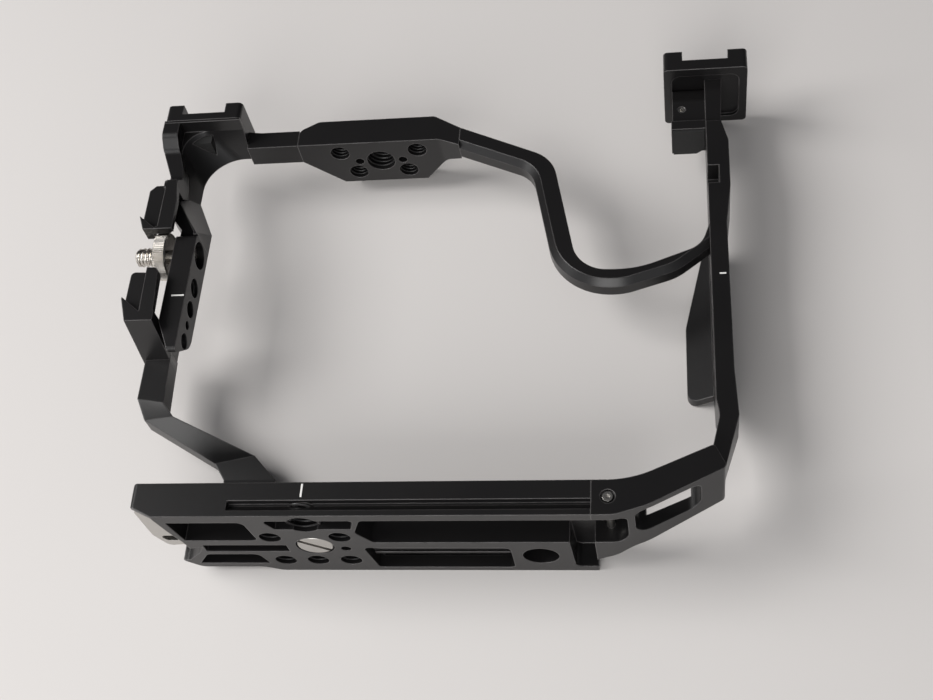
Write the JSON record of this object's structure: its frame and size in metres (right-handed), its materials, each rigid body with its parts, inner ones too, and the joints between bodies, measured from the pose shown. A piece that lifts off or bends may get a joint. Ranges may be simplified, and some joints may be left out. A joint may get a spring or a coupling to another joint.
{
  "type": "camera cage",
  "caption": "Cage for a large video camera: base plate with dovetail edges, strapped corner, grip guard, threaded top block, cold shoes, accessory rails and a captive thumbscrew.",
  "frame": {"origin": "under the middle of the footprint, on the surface that the cage lies on", "axes": "+X towards the hand grip side, +Y towards the top of the cage as it is used, +Z away from the surface that it lies on, which is the camera's rear side"},
  "size_m": [0.196, 0.1678, 0.0385],
  "materials": {
    "anodised": "satin black anodised aluminium",
    "steel": "polished steel",
    "nickel": "bright plated, knurled",
    "pad": "dull black rubber"
  },
  "bodies": {
    "frame": {"base_plate": "anodised", "seat_pads": "pad", "strap_corner": "anodised", "cross_screw": "steel", "side_bar": "anodised", "grip_wing": "anodised", "grip_bridge": "anodised", "top_block": "anodised", "top_link": "anodised", "shoe_corner": "anodised", "left_shoe": "anodised", "right_shoe": "anodised", "shoe_stem": "anodised", "shoe_lug": "anodised", "shoe_set_screw": "steel", "stop_block": "anodised", "stop_pad": "pad", "socket_plate": "anodised", "rail_lower": "anodised", "rail_upper": "anodised", "front_strap": "anodised", "corner_pad": "pad", "tool_magnet": "steel"},
    "camera_clip": {"camera_screw_clip": "steel"},
    "camera_screw": {"camera_screw": "steel"},
    "clamp_clip": {"clamp_clip": "steel"},
    "clamp_screw": {"clamp_screw": "nickel"},
    "tool": {"steel_tool": "steel"}
  },
  "joints": [
    {"name": "camera_screw_slide", "type": "slide", "parent": "frame", "child": "camera_clip", "axis": [0, 1, 0], "range_m": [0, 0.0023]},
    {"name": "camera_screw_spin", "type": "hinge", "parent": "camera_clip", "child": "camera_screw", "pos_m": [-0.03, -0.0736, 0.0179], "axis": [0, 1, 0], "continuous": true},
    {"name": "clamp_screw_slide", "type": "slide", "parent": "frame", "child": "clamp_clip", "axis": [1, 0, 0], "range_m": [0, 0.002]},
    {"name": "clamp_screw_spin", "type": "hinge", "parent": "clamp_clip", "child": "clamp_screw", "pos_m": [-0.09, 0.0117, 0.0286], "axis": [1, 0, 0], "continuous": true},
    {"name": "tool_slide", "type": "slide", "parent": "frame", "child": "tool", "axis": [-1, 0, 0], "range_m": [0, 0.03]}
  ]
}
